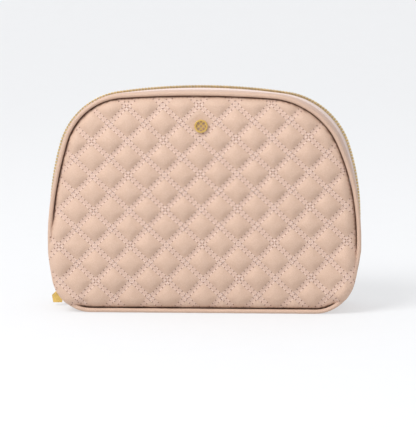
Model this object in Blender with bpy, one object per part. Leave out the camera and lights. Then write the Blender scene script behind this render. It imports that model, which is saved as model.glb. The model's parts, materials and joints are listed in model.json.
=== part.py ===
"""A quilted clamshell makeup bag: two padded faces, a zip that arches over them, and a soft base.

Metres, +Z up. The bag stands on the XY plane with its emblem facing -Y.
"""

import math

import bmesh
import bpy
from mathutils import Matrix, Vector

# The outline of each quilted face at its seam
FACE_HALF_WIDTH = 0.1210
FACE_WIDEST_AT = 0.057
FACE_SIDE_RADIUS = 0.220
FACE_LOW_ANGLE = math.radians(-8)
FACE_HIGH_ANGLE = math.radians(20.8)
FACE_CROWN_ANGLE = math.radians(86)
FACE_TOP = 0.1724

# The outline of the zip, halfway between the faces
ZIP_HALF_WIDTH = 0.124
ZIP_WIDEST_AT = 0.073
ZIP_SIDE_RADIUS = 0.201
ZIP_LOW_ANGLE = math.radians(-17.5)
ZIP_HIGH_ANGLE = math.radians(17)
ZIP_CROWN_ANGLE = math.radians(81.5)
ZIP_TOP = 0.178
BASE_MIDDLE_HEIGHT = 0.0012

# Depth of the bag and the layers of its faces
HALF_DEPTH = 0.031
FACE_BULGE = 0.007
FACE_CENTRE_HEIGHT = 0.088
GAP = 0.0003
LEATHER = 0.0014
PADDING = 0.0035
PADDING_INSET = 0.003
WASHER = 0.0005
CLOTH = 0.0006
LINING_INSET = 0.0036

# Piping round each face
PIPING_RADIUS = 0.0017
PIPING_SIDES = 8

# The wall between the faces
WALL_EDGE_LIFT = 0.0008
WALL_MIDDLE_DROP = 0.0010
FACING_THICKNESS = 0.0009
FACING_LIFT = 0.0005
FACING_EDGE = 0.0282
FACING_INNER_EDGE = 0.0145
TAPE_EDGE = 0.0165
TAPE_INNER_EDGE = 0.0037
TAPE_UNDERLAP = 0.002
WALL_LINING_DEPTH = 0.0012
WALL_LINING_EDGE = 0.0235
WALL_LINING_INNER_EDGE = 0.0092

# Zip teeth and stops
TOOTH_PITCH = 0.0025
TOOTH_LENGTH = 0.0013
TOOTH_HEIGHT = 0.0022
TOOTH_NEAR = 0.0008
TOOTH_FAR = 0.0034
BEAD_NEAR = 0.0024
BEAD_HEIGHT = 0.0012
STOP_LENGTH = 0.003
STOP_HEIGHT = 0.0024
STOP_ROOM = 0.0014
STOP_CLEAR = 0.0007

# Zip slider
SLIDER_ANGLE = math.radians(-15.3)
SLIDER_HALF_LENGTH = 0.0055
SLIDER_HALF_WIDTH = 0.0052
SLIDER_PLATE_IN = 0.0015
SLIDER_PLATE_OUT = 0.0024
SLIDER_FLANGE_Y = 0.0043
SLIDER_SLOT = 0.0013
SLIDER_POST_HALF_WIDTH = 0.0005
SLIDER_POST_TOP = -0.0015
BRIDGE_HALF_LENGTH = 0.0032
BRIDGE_HALF_WIDTH = 0.0010
BRIDGE_THICKNESS = 0.0010
BRIDGE_ROOM = 0.0018

# Pull: a wire link through the bridge, and a tab that hangs on the link
LINK_WIRE = 0.0006
LINK_LENGTH = 0.009
LINK_HALF_WIDTH = 0.0021
LINK_CORNER = 0.0012
PIVOT_HEIGHT = SLIDER_PLATE_OUT + BRIDGE_ROOM / 2
TAB_THICKNESS = 0.0016
TAB_EYE_RADIUS = 0.0009
TAB_HEAD_RADIUS = 0.0019
TAB_HEAD_ANGLE = math.radians(20)
TAB_SHOULDER = 0.0046
TAB_FOOT = 0.0036
TAB_SHOULDER_DROP = 0.0020
TAB_LENGTH = 0.0080
TAB_HEAD_STEPS = 4
METAL_SOFTNESS = 0.0003

# Emblem
EMBLEM_HEIGHT = 0.1492
EMBLEM_CLEAR = 0.0003
EMBLEM_RADIUS = 0.0052
EMBLEM_RIM = 0.0012
EMBLEM_THICKNESS = 0.0012
EMBLEM_BAR = 0.0006
EMBLEM_BAR_SPACING = 0.0027
PRONG_RADIUS = 0.0005
PRONG_HOLE_RADIUS = 0.0008
WASHER_HALF_LENGTH = 0.0065
WASHER_HALF_HEIGHT = 0.0030

# Base and pocket
BOARD_HALF_LENGTH = 0.092
BOARD_HALF_DEPTH = 0.023
BOARD_BOTTOM = 0.0031
BOARD_THICKNESS = 0.0014
BASE_LINING_DEPTH = 0.0027
BASE_LINING_EDGE = 0.0225
BINDING_WIDTH = 0.004
POCKET_HALF_WIDTH = 0.062
POCKET_BOTTOM = 0.024
POCKET_TOP = 0.098
POCKET_STANDOFF = 0.0028
POCKET_BINDING_HEIGHT = 0.003
POCKET_BINDING_LAP = 0.25  # of the cloth's thickness, on each side
POCKET_FULLNESS = 4
BOARD_SOFTNESS = 0.0004

# How finely curves are divided
CORNER_STEPS = 5
SIDE_STEPS = 5
SHOULDER_STEPS = 7
CROWN_STEPS = 2
WALL_STEPS = 44
BASE_STEPS = 26
DOME_RINGS = (1.0, 0.9, 0.76, 0.56, 0.3)
POCKET_STEPS = 6
BASE_CROWDING = 0.6  # below 1, base sections crowd towards the lower corners
FINE_SIDES = 8
EYE_SIDES = 12
EMBLEM_SIDES = 24
TINY = 1e-6


class Outline:
    """A closed outline, the same left and right, made of arcs that run into one another."""

    def __init__(self, half_width, widest_at, side_radius, low, high, upper, bottom, top):
        """Low, high and upper are the angles at which the arcs meet."""
        side_x = half_width - side_radius
        low_x = side_x + side_radius * math.cos(low)
        low_z = widest_at + side_radius * math.sin(low)
        high_x = side_x + side_radius * math.cos(high)
        high_z = widest_at + side_radius * math.sin(high)
        corner = (low_z - bottom) / (1 + math.sin(low))
        crown_rise = (1 - math.sin(upper)) / math.cos(upper)
        climb = math.sin(upper) - math.sin(high)
        run = math.cos(high) - math.cos(upper)
        shoulder = (top - high_z - crown_rise * high_x) / (climb - crown_rise * run)
        crown = (high_x - shoulder * run) / math.cos(upper)
        self.bottom = bottom
        self.flat = low_x - corner * math.cos(low)
        self.arcs = [
            (self.flat, bottom + corner, corner, -math.pi / 2, low),
            (side_x, widest_at, side_radius, low, high),
            (
                high_x - shoulder * math.cos(high),
                high_z - shoulder * math.sin(high),
                shoulder,
                high,
                upper,
            ),
            (0.0, top - crown, crown, upper, math.pi / 2),
        ]
        self.lengths = [self.flat] + [arc[2] * (arc[4] - arc[3]) for arc in self.arcs]
        self.half_length = sum(self.lengths)

    def half(self, fraction):
        """A point of the right half and its outward direction; 0 is bottom centre, 1 is top centre."""
        left = fraction * self.half_length
        if left <= self.flat:
            return Vector((left, self.bottom)), Vector((0.0, -1.0))
        left -= self.flat
        for x, z, radius, start, end in self.arcs:
            angle = start + left / radius
            if angle <= end + TINY:
                break
            left -= radius * (end - start)
        outward = Vector((math.cos(angle), math.sin(angle)))
        return Vector((x, z)) + outward * radius, outward

    def at(self, fraction):
        """The same for the whole outline, where 1 to 2 comes down the left side."""
        if fraction <= 1:
            return self.half(fraction)
        point, outward = self.half(2 - fraction)
        point.x = -point.x
        outward.x = -outward.x
        return point, outward

    def part_fractions(self, steps):
        """Fractions of the whole outline, with each straight and arc cut into its own steps."""
        half = [0.0]
        start = 0.0
        for length, count in zip(self.lengths, steps):
            half += [
                (start + length * (i + 1) / count) / self.half_length for i in range(count)
            ]
            start += length
        half[-1] = 1.0
        return half + [2 - f for f in reversed(half[1:-1])]


PIPING_CLEAR = GAP + 2 * PIPING_RADIUS
FACE = Outline(
    FACE_HALF_WIDTH,
    FACE_WIDEST_AT,
    FACE_SIDE_RADIUS,
    FACE_LOW_ANGLE,
    FACE_HIGH_ANGLE,
    FACE_CROWN_ANGLE,
    PIPING_CLEAR,
    FACE_TOP,
)
ZIP = Outline(
    ZIP_HALF_WIDTH,
    ZIP_WIDEST_AT,
    ZIP_SIDE_RADIUS,
    ZIP_LOW_ANGLE,
    ZIP_HIGH_ANGLE,
    ZIP_CROWN_ANGLE,
    BASE_MIDDLE_HEIGHT,
    ZIP_TOP,
)
ZIP_START = (ZIP.lengths[0] + ZIP.lengths[1]) / ZIP.half_length
FACE_FRACTIONS = FACE.part_fractions((1, CORNER_STEPS, SIDE_STEPS, SHOULDER_STEPS, CROWN_STEPS))


def material(name, colour, roughness, metallic=0.0):
    """A plain shaded material."""
    made = bpy.data.materials.new(name)
    made.use_nodes = True
    shader = made.node_tree.nodes["Principled BSDF"]
    shader.inputs["Base Color"].default_value = (*colour, 1.0)
    shader.inputs["Roughness"].default_value = roughness
    shader.inputs["Metallic"].default_value = metallic
    return made


def add_object(name, bm, look, smooth=False):
    """Close off a mesh under construction and put it in the scene."""
    bmesh.ops.recalc_face_normals(bm, faces=bm.faces)
    for face in bm.faces:
        face.smooth = smooth
    mesh = bpy.data.meshes.new(name)
    bm.to_mesh(mesh)
    bm.free()
    mesh.materials.append(look)
    made = bpy.data.objects.new(name, mesh)
    bpy.context.scene.collection.objects.link(made)
    return made


def loft(bm, sections, closed):
    """Skin a row of cross-sections, each a ring of points; an open row gets end caps."""
    rings = [[bm.verts.new(p) for p in section] for section in sections]
    count = len(rings[0])
    pairs = list(zip(rings, rings[1:]))
    if closed:
        pairs.append((rings[-1], rings[0]))
    else:
        bm.faces.new(rings[0])
        bm.faces.new(rings[-1])
    for a, b in pairs:
        for i in range(count):
            j = (i + 1) % count
            bm.faces.new((a[i], a[j], b[j], b[i]))


def prism(bm, corners, low, high, axis):
    """Extrude a polygon along one axis. Its corners are given in the other two, in X, Y, Z order."""

    def place(corner, depth):
        point = list(corner)
        point.insert(axis, depth)
        return Vector(point)

    loft(bm, [[place(c, depth) for c in corners] for depth in (low, high)], closed=False)


def box_corners(low, high):
    """The corners of a rectangle."""
    return [(low[0], low[1]), (high[0], low[1]), (high[0], high[1]), (low[0], high[1])]


def circle_corners(x, z, radius, count):
    """The corners of a round outline."""
    turns = [2 * math.pi * (i + 0.5) / count for i in range(count)]
    return [(x + radius * math.cos(t), z + radius * math.sin(t)) for t in turns]


def combine(target, name, bm, operation):
    """Join a shape to a piece, or cut it out, and keep the shape as a hidden tool."""
    tool = add_object(name, bm, target.data.materials[0])
    tool.hide_render = True
    tool.display_type = "WIRE"
    change = target.modifiers.new(name, "BOOLEAN")
    change.object = tool
    change.operation = operation
    change.solver = "EXACT"


def soften(target, width, segments=1):
    """Round off the edges of a piece."""
    bevel = target.modifiers.new("soft_edges", "BEVEL")
    bevel.width = width
    bevel.segments = segments
    bevel.limit_method = "ANGLE"
    bevel.angle_limit = math.radians(40)


def face_point(fraction, offset, scale):
    """A point on the face's outline, moved outwards and then drawn in to the face's centre."""
    point, outward = FACE.at(fraction)
    point = point + outward * offset
    x = point.x * scale
    z = FACE_CENTRE_HEIGHT + (point.y - FACE_CENTRE_HEIGHT) * scale
    return x, z


def bulge(scale):
    """How far a face stands out, from the rim at scale 1 to the centre at 0."""
    return FACE_BULGE * (1 - scale**3)


def face_scale(x, z):
    """Where a point of the face lies between its centre, 0, and its outline, 1."""
    rise = math.atan2(z - FACE_CENTRE_HEIGHT, abs(x))
    low, high = 0.0, 1.0
    while high - low > TINY:
        middle = (low + high) / 2
        point, _ = FACE.at(middle)
        if math.atan2(point.y - FACE_CENTRE_HEIGHT, point.x) < rise:
            low = middle
        else:
            high = middle
    return math.hypot(x, z - FACE_CENTRE_HEIGHT) / math.hypot(
        point.x, point.y - FACE_CENTRE_HEIGHT
    )


def domed_sheet(name, side, inset, depth, thickness, look):
    """One layer of a face: a sheet that bulges outwards, at a depth behind the leather's surface."""
    bm = bmesh.new()
    skins = []
    for layer in (depth, depth + thickness):
        rings = []
        for scale in DOME_RINGS:
            y = side * (HALF_DEPTH - layer + bulge(scale))
            points = [face_point(f, -inset, scale) for f in FACE_FRACTIONS]
            rings.append([bm.verts.new((x, y, z)) for x, z in points])
        tip = bm.verts.new((0.0, side * (HALF_DEPTH - layer + bulge(0)), FACE_CENTRE_HEIGHT))
        skins.append((rings, tip))
    count = len(FACE_FRACTIONS)
    for rings, tip in skins:
        for i in range(count):
            j = (i + 1) % count
            for a, b in zip(rings, rings[1:]):
                bm.faces.new((a[i], a[j], b[j], b[i]))
            bm.faces.new((rings[-1][i], rings[-1][j], tip))
    outer, inner = skins[0][0][0], skins[1][0][0]
    for i in range(count):
        j = (i + 1) % count
        bm.faces.new((outer[i], outer[j], inner[j], inner[i]))
    return add_object(name, bm, look, smooth=True)


def ring_along_face(name, side, section, look):
    """A closed ring that follows the face's outline. Its section is in outward and depth offsets."""
    bm = bmesh.new()
    sections = []
    for fraction in FACE_FRACTIONS:
        point, outward = FACE.at(fraction)
        placed = [point + outward * offset for offset, _ in section]
        sections.append(
            [(p.x, side * (HALF_DEPTH + depth), p.y) for p, (_, depth) in zip(placed, section)]
        )
    loft(bm, sections, closed=True)
    return add_object(name, bm, look, smooth=True)


def wall_point(fraction, y, lift):
    """A point of the wall between the faces, raised outwards from the zip tape's outer side."""
    edge, edge_out = FACE.at(fraction)
    middle, middle_out = ZIP.at(fraction)
    edge = edge + edge_out * (WALL_EDGE_LIFT + lift)
    middle = middle + middle_out * (lift - WALL_MIDDLE_DROP)
    share = abs(y) / HALF_DEPTH
    point = middle + (edge - middle) * share
    return Vector((point.x, y, point.y))


def wall_strip(name, breadths, outer, inner, look, underlap=0.0):
    """A strip of the wall along the zip, which can run on a little under the base at both ends."""
    bm = bmesh.new()
    steps = range(WALL_STEPS + 1)
    fractions = [ZIP_START + (2 - 2 * ZIP_START) * i / WALL_STEPS for i in steps]
    if underlap:
        share = underlap / ZIP.half_length
        fractions = [ZIP_START - share, *fractions, 2 - ZIP_START + share]
    sections = []
    for fraction in fractions:
        section = [wall_point(fraction, y, outer) for y in breadths]
        section += [wall_point(fraction, y, inner) for y in reversed(breadths)]
        sections.append(section)
    loft(bm, sections, closed=False)
    return add_object(name, bm, look, smooth=True)


def base_strip(name, breadths, outer, inner, end, look):
    """A strip of the wall that runs under the bag, up to the same fraction on both sides."""
    bm = bmesh.new()
    sections = []
    for i in range(BASE_STEPS + 1):
        share = 2 * i / BASE_STEPS - 1
        fraction = end * abs(share) ** BASE_CROWDING
        section = [wall_point(fraction, y, outer) for y in breadths]
        section += [wall_point(fraction, y, inner) for y in reversed(breadths)]
        if share < 0:
            section = [Vector((-p.x, p.y, p.z)) for p in section]
        sections.append(section)
    loft(bm, sections, closed=False)
    return add_object(name, bm, look, smooth=True)


def zip_frame(length):
    """The zip's middle line at a length from bottom centre: a matrix with -X out and Z along it."""
    point, outward = ZIP.at(length / ZIP.half_length)
    out = Vector((outward.x, 0.0, outward.y))
    out_position = Vector((point.x, 0.0, point.y)) - out * (WALL_MIDDLE_DROP + CLOTH / 2)
    across = Vector((0.0, 1.0, 0.0))
    along = (-out).cross(across)
    frame = Matrix((-out, across, along)).transposed().to_4x4()
    frame.translation = out_position
    return frame


def zip_block(bm, middle, length, height, near, far):
    """A block on the zip's line, reaching from one depth to another."""
    frame = zip_frame(middle)
    corners = box_corners((-height / 2, near), (height / 2, far))
    sections = [[frame @ Vector((x, y, z)) for x, y in corners] for z in (-length / 2, length / 2)]
    loft(bm, sections, closed=False)


def face_layers(prefix, side, looks):
    """The layers of one face, its piping and the binding over its inner seam."""
    lining_depth = LEATHER + PADDING + WASHER + 4 * GAP
    panel = domed_sheet(prefix + "_panel", side, 0.0, 0.0, LEATHER, looks["leather"])
    padding = domed_sheet(
        prefix + "_padding", side, PADDING_INSET, LEATHER + GAP, PADDING, looks["foam"]
    )
    domed_sheet(prefix + "_lining", side, LINING_INSET, lining_depth, CLOTH, looks["lining"])
    half_turn = math.pi / PIPING_SIDES
    reach = PIPING_RADIUS / math.cos(half_turn)
    turns = [half_turn + 2 * math.pi * i / PIPING_SIDES for i in range(PIPING_SIDES)]
    section = [
        (GAP + PIPING_RADIUS + reach * math.cos(t), reach * math.sin(t) - LEATHER / 2)
        for t in turns
    ]
    ring_along_face(prefix + "_piping", side, section, looks["leather_trim"])
    binding_depth = -(lining_depth + CLOTH + GAP)
    binding = box_corners(
        (-LINING_INSET - BINDING_WIDTH, binding_depth - CLOTH), (-LINING_INSET, binding_depth)
    )
    ring_along_face(prefix + "_seam_binding", side, binding, looks["binding"])
    return panel, padding


def zip_side(prefix, side, looks):
    """One half of the zip, the leather along it and the cloth behind it."""
    spread = [FACING_EDGE, (FACING_EDGE + FACING_INNER_EDGE) / 2, FACING_INNER_EDGE]
    wall_strip(
        prefix + "_zip_facing",
        [side * y for y in spread],
        FACING_LIFT + FACING_THICKNESS,
        FACING_LIFT,
        looks["leather_trim"],
    )
    wall_strip(
        prefix + "_zip_tape",
        [side * TAPE_EDGE, side * TAPE_INNER_EDGE],
        0.0,
        -CLOTH,
        looks["tape"],
        TAPE_UNDERLAP,
    )
    wall_strip(
        prefix + "_wall_lining",
        [side * WALL_LINING_EDGE, side * WALL_LINING_INNER_EDGE],
        -WALL_LINING_DEPTH,
        -WALL_LINING_DEPTH - CLOTH,
        looks["lining"],
    )
    teeth_row(prefix + "_zip_teeth", side, looks)
    stop = bmesh.new()
    middle = (2 - ZIP_START) * ZIP.half_length - STOP_CLEAR - STOP_LENGTH / 2
    zip_block(stop, middle, STOP_LENGTH, STOP_HEIGHT, side * TOOTH_NEAR, side * TOOTH_FAR)
    add_object(prefix + "_top_stop", stop, looks["brass"])


def teeth_row(name, side, looks):
    """One row of teeth, held together by the bead along the tape that they grip."""
    bm = bmesh.new()
    skipped = ZIP_START * ZIP.half_length + STOP_LENGTH + STOP_ROOM
    start = skipped + (TOOTH_PITCH / 2 if side > 0 else 0.0)
    tooth = box_corners((-TOOTH_HEIGHT / 2, TOOTH_NEAR), (TOOTH_HEIGHT / 2, TOOTH_FAR))
    bead = box_corners((-BEAD_HEIGHT / 2, BEAD_NEAR), (BEAD_HEIGHT / 2, TOOTH_FAR - GAP / 2))
    sections = []
    for i in range(int(2 * (ZIP.half_length - skipped) / TOOTH_PITCH)):
        first = start + i * TOOTH_PITCH
        last = first + TOOTH_LENGTH
        between = (last + first + TOOTH_PITCH) / 2
        for length, outline in ((first, tooth), (last, tooth), (between, bead)):
            frame = zip_frame(length)
            sections.append([frame @ Vector((x, side * y, 0.0)) for x, y in outline])
    loft(bm, sections, closed=False)
    add_object(name, bm, looks["brass"])


def bottom_stop(looks):
    """The box at the far end of the zip that holds both rows of teeth together."""
    bm = bmesh.new()
    middle = ZIP_START * ZIP.half_length + STOP_CLEAR + STOP_LENGTH / 2
    zip_block(bm, middle, STOP_LENGTH, STOP_HEIGHT, -TOOTH_FAR, TOOTH_FAR)
    stop = add_object("zip_bottom_stop", bm, looks["brass"])
    soften(stop, METAL_SOFTNESS)


def half_slider(sign):
    """The cross-section of one plate of the slider with its two turned edges."""
    wide = SLIDER_HALF_WIDTH
    narrow = SLIDER_FLANGE_Y
    return [
        (sign * SLIDER_PLATE_OUT, -wide),
        (sign * SLIDER_PLATE_OUT, wide),
        (sign * SLIDER_SLOT, wide),
        (sign * SLIDER_SLOT, narrow),
        (sign * SLIDER_PLATE_IN, narrow),
        (sign * SLIDER_PLATE_IN, -narrow),
        (sign * SLIDER_SLOT, -narrow),
        (sign * SLIDER_SLOT, -wide),
    ]


def slider(looks):
    """The slider: two plates joined by a post, with a bridge for the pull. -X is outwards."""
    bm = bmesh.new()
    prism(bm, half_slider(-1), -SLIDER_HALF_LENGTH, SLIDER_HALF_LENGTH, 2)
    body = add_object("slider_body", bm, looks["gold"])
    inner = bmesh.new()
    prism(inner, half_slider(1), -SLIDER_HALF_LENGTH, SLIDER_HALF_LENGTH, 2)
    middle_of_plate = (SLIDER_PLATE_IN + SLIDER_PLATE_OUT) / 2
    post = bmesh.new()
    post_corners = box_corners(
        (-middle_of_plate, -SLIDER_POST_HALF_WIDTH), (middle_of_plate, SLIDER_POST_HALF_WIDTH)
    )
    prism(post, post_corners, GAP - SLIDER_HALF_LENGTH, SLIDER_POST_TOP, 2)
    foot = -middle_of_plate
    under = -SLIDER_PLATE_OUT - BRIDGE_ROOM
    top = under - BRIDGE_THICKNESS
    reach = BRIDGE_HALF_LENGTH
    inside = reach - BRIDGE_THICKNESS
    slope = BRIDGE_THICKNESS
    arch = bmesh.new()
    arch_corners = [
        (foot, -reach),
        (top + slope, -reach),
        (top, -reach + slope),
        (top, reach - slope),
        (top + slope, reach),
        (foot, reach),
        (foot, inside),
        (under, inside),
        (under, -inside),
        (foot, -inside),
    ]
    prism(arch, arch_corners, -BRIDGE_HALF_WIDTH, BRIDGE_HALF_WIDTH, 1)
    combine(body, "slider_post", post, "UNION")
    combine(body, "slider_inner_plate", inner, "UNION")
    combine(body, "slider_bridge", arch, "UNION")
    length = 2 * ZIP.half_length - ZIP.lengths[0] - ZIP.lengths[1]
    length -= ZIP_SIDE_RADIUS * (SLIDER_ANGLE - ZIP_LOW_ANGLE)
    frame = zip_frame(length)
    for piece in [body] + [change.object for change in body.modifiers]:
        piece.location = frame.translation
        piece.rotation_euler = (0.0, SLIDER_ANGLE, 0.0)
    return frame @ Vector((-PIVOT_HEIGHT, 0.0, 0.0))


def pull_link(pivot, looks):
    """A rounded wire link that passes under the bridge and hangs straight down."""
    bm = bmesh.new()
    centres = [
        (LINK_HALF_WIDTH - LINK_CORNER, -LINK_CORNER, 0.0),
        (LINK_HALF_WIDTH - LINK_CORNER, LINK_CORNER - LINK_LENGTH, -math.pi / 2),
        (LINK_CORNER - LINK_HALF_WIDTH, LINK_CORNER - LINK_LENGTH, -math.pi),
        (LINK_CORNER - LINK_HALF_WIDTH, -LINK_CORNER, math.pi / 2),
    ]
    sections = []
    for y, z, start in centres:
        for step in range(3):
            turn = start + (2 - step) * math.pi / 4
            outward = Vector((0.0, math.cos(turn), math.sin(turn)))
            middle = Vector((0.0, y, z)) + outward * LINK_CORNER
            section = []
            for x, out in circle_corners(0.0, 0.0, LINK_WIRE, FINE_SIDES):
                section.append(middle + Vector((x, 0.0, 0.0)) + outward * out)
            sections.append(section)
    loft(bm, sections, closed=True)
    link = add_object("pull_link", bm, looks["gold"], smooth=True)
    link.location = pivot


def pull_tab(pivot, looks):
    """A tapered tab with an eye round the lower wire of the link."""
    bm = bmesh.new()
    shoulder = TAB_SHOULDER
    corners = [(TAB_FOOT, -TAB_LENGTH), (shoulder, -TAB_SHOULDER_DROP)]
    spread = math.pi - 2 * TAB_HEAD_ANGLE
    head = [TAB_HEAD_ANGLE + spread * i / TAB_HEAD_STEPS for i in range(TAB_HEAD_STEPS + 1)]
    corners += [(TAB_HEAD_RADIUS * math.cos(t), TAB_HEAD_RADIUS * math.sin(t)) for t in head]
    corners += [(-shoulder, -TAB_SHOULDER_DROP), (-TAB_FOOT, -TAB_LENGTH)]
    prism(bm, corners, -TAB_THICKNESS / 2, TAB_THICKNESS / 2, 1)
    tab = add_object("pull_tab", bm, looks["gold"])
    soften(tab, METAL_SOFTNESS)
    eye = bmesh.new()
    round_eye = circle_corners(0.0, 0.0, TAB_EYE_RADIUS, EYE_SIDES)
    prism(eye, round_eye, -TAB_THICKNESS, TAB_THICKNESS, 1)
    combine(tab, "pull_eye", eye, "DIFFERENCE")
    for piece in (tab, tab.modifiers["pull_eye"].object):
        piece.location = pivot + Vector((0.0, 0.0, -LINK_LENGTH))


def ring_bars(reach, low, high, upright):
    """Two parallel bars of the badge's lattice."""
    bm = bmesh.new()
    chord = math.sqrt(reach**2 - high**2)
    for edges in ((low, high), (-high, -low)):
        corners = box_corners((-chord, edges[0]), (chord, edges[1]))
        if upright:
            corners = [(z, x) for x, z in corners]
        prism(bm, corners, GAP - EMBLEM_THICKNESS, -GAP, 1)
    bm.transform(Matrix.Rotation(math.pi / 4, 4, "Y"))
    return bm


def pair_of_posts(radius, front, back):
    """Two round posts behind the badge's rim, or the holes that they pass through."""
    bm = bmesh.new()
    middle_of_rim = EMBLEM_RADIUS - EMBLEM_RIM / 2
    for x in (-middle_of_rim, middle_of_rim):
        prism(bm, circle_corners(x, 0.0, radius, FINE_SIDES), front, back, 1)
    return bm


def emblem(panel, padding, looks):
    """A round openwork lattice badge with two prongs, and the washer that holds it on."""
    rim = EMBLEM_RADIUS - EMBLEM_RIM
    disc = bmesh.new()
    outside = circle_corners(0.0, 0.0, EMBLEM_RADIUS, EMBLEM_SIDES)
    prism(disc, outside, -EMBLEM_THICKNESS, 0.0, 1)
    badge = add_object("emblem", disc, looks["gold"])
    hole = bmesh.new()
    inside = circle_corners(0.0, 0.0, rim, EMBLEM_SIDES)
    prism(hole, inside, -2 * EMBLEM_THICKNESS, EMBLEM_THICKNESS, 1)
    combine(badge, "emblem_hole", hole, "DIFFERENCE")
    reach = EMBLEM_RADIUS - EMBLEM_RIM / 2
    low = (EMBLEM_BAR_SPACING - EMBLEM_BAR) / 2
    high = (EMBLEM_BAR_SPACING + EMBLEM_BAR) / 2
    combine(badge, "emblem_bars", ring_bars(reach, low, high, False), "UNION")
    combine(badge, "emblem_cross_bars", ring_bars(reach, low, high, True), "UNION")
    washer_back = LEATHER + PADDING + WASHER + 3 * GAP
    prongs = pair_of_posts(PRONG_RADIUS, -EMBLEM_THICKNESS / 2, washer_back + EMBLEM_CLEAR)
    combine(badge, "emblem_prongs", prongs, "UNION")
    plate = bmesh.new()
    plate_corners = box_corners(
        (-WASHER_HALF_LENGTH, -WASHER_HALF_HEIGHT), (WASHER_HALF_LENGTH, WASHER_HALF_HEIGHT)
    )
    prism(plate, plate_corners, washer_back - WASHER, washer_back, 1)
    washer = add_object("emblem_washer", plate, looks["steel"])
    holes = pair_of_posts(PRONG_HOLE_RADIUS, -FACE_BULGE, 2 * FACE_BULGE)
    combine(washer, "prong_holes", holes, "DIFFERENCE")
    tool = washer.modifiers["prong_holes"].object
    for piece in (panel, padding):
        change = piece.modifiers.new("prong_holes", "BOOLEAN")
        change.object = tool
        change.operation = "DIFFERENCE"
        change.solver = "EXACT"
    scale = face_scale(0.0, EMBLEM_HEIGHT)
    slope = 3 * FACE_BULGE * scale**2 / (FACE_TOP - FACE_CENTRE_HEIGHT)
    depth = -(HALF_DEPTH + bulge(scale))
    placed = [badge, washer, tool]
    placed += [change.object for change in badge.modifiers]
    for piece in placed:
        clear = 0.0 if piece in (washer, tool) else EMBLEM_CLEAR
        piece.location = (0.0, depth - clear, EMBLEM_HEIGHT)
        piece.rotation_euler = (-math.atan(slope), 0.0, 0.0)


def base(looks):
    """The leather under the bag, the board that stiffens it and the cloth over the board."""
    gap = 2 * GAP / ZIP.half_length
    spread = [FACING_EDGE, FACING_EDGE / 2, 0.0, -FACING_EDGE / 2, -FACING_EDGE]
    base_strip(
        "bottom_gusset",
        spread,
        FACING_LIFT + FACING_THICKNESS,
        FACING_LIFT,
        ZIP_START - gap,
        looks["leather_trim"],
    )
    bm = bmesh.new()
    corners = box_corners(
        (-BOARD_HALF_LENGTH, -BOARD_HALF_DEPTH), (BOARD_HALF_LENGTH, BOARD_HALF_DEPTH)
    )
    prism(bm, corners, BOARD_BOTTOM, BOARD_BOTTOM + BOARD_THICKNESS, 2)
    board = add_object("base_board", bm, looks["board"])
    soften(board, BOARD_SOFTNESS)
    spread = [BASE_LINING_EDGE, 0.0, -BASE_LINING_EDGE]
    base_strip(
        "bottom_lining",
        spread,
        -BASE_LINING_DEPTH,
        -BASE_LINING_DEPTH - CLOTH,
        ZIP_START - gap,
        looks["lining"],
    )


def pocket_point(across, up, depth):
    """A point of the slip pocket, which stands off the back lining towards its mouth."""
    x = POCKET_HALF_WIDTH * across
    z = POCKET_BOTTOM + (POCKET_TOP - POCKET_BOTTOM) * up
    layers = LEATHER + PADDING + WASHER + CLOTH + 5 * GAP
    sheet = HALF_DEPTH - layers + bulge(face_scale(x, z))
    stand = POCKET_STANDOFF * (1 - across**POCKET_FULLNESS) * math.sqrt(up)
    return Vector((x, sheet - stand - 2 * GAP - depth, z))


def pocket(looks):
    """A slip pocket on the back lining, with a bound top edge."""
    bm = bmesh.new()
    shares = [i / POCKET_STEPS for i in range(POCKET_STEPS + 1)]
    sections = []
    for share in shares:
        across = 2 * share - 1
        near = [pocket_point(across, up, 0.0) for up in shares]
        far = [pocket_point(across, up, CLOTH) for up in reversed(shares)]
        sections.append(near + far)
    loft(bm, sections, closed=False)
    add_object("slip_pocket", bm, looks["lining"], smooth=True)
    binding = bmesh.new()
    rise = (GAP + POCKET_BINDING_HEIGHT) * Vector((0.0, 0.0, 1.0))
    lift = GAP * Vector((0.0, 0.0, 1.0))
    sections = []
    for share in shares:
        across = 2 * share - 1
        near = pocket_point(across, 1.0, -CLOTH * POCKET_BINDING_LAP)
        far = pocket_point(across, 1.0, CLOTH + CLOTH * POCKET_BINDING_LAP)
        sections.append([near + lift, near + rise, far + rise, far + lift])
    loft(binding, sections, closed=False)
    add_object("pocket_binding", binding, looks["binding"], smooth=True)


def materials():
    """Every material of the bag."""
    return {
        "leather": material("blush_leather", (0.72, 0.50, 0.40), 0.5),
        "leather_trim": material("blush_trim_leather", (0.70, 0.47, 0.37), 0.5),
        "foam": material("foam", (0.85, 0.82, 0.72), 0.95),
        "lining": material("lining_cloth", (0.45, 0.30, 0.27), 0.85),
        "binding": material("binding_cloth", (0.55, 0.36, 0.32), 0.8),
        "tape": material("zip_tape", (0.76, 0.60, 0.54), 0.85),
        "board": material("stiff_board", (0.50, 0.42, 0.32), 0.9),
        "brass": material("zip_brass", (0.80, 0.60, 0.28), 0.3, 1.0),
        "gold": material("gold_plate", (0.90, 0.66, 0.28), 0.22, 1.0),
        "steel": material("washer_steel", (0.60, 0.60, 0.60), 0.4, 1.0),
    }


def main():
    for old in list(bpy.data.objects):
        bpy.data.objects.remove(old, do_unlink=True)
    looks = materials()
    panel, padding = face_layers("front", -1, looks)
    face_layers("back", 1, looks)
    zip_side("front", -1, looks)
    zip_side("back", 1, looks)
    bottom_stop(looks)
    pivot = slider(looks)
    pull_link(pivot, looks)
    pull_tab(pivot, looks)
    emblem(panel, padding, looks)
    base(looks)
    pocket(looks)


main()
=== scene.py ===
"""The looks of a quilted clamshell makeup bag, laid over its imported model.

Metres, +Z up, the bag's front faces -Y. Each operator makes one group of pieces.
"""

import json
import math

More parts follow.
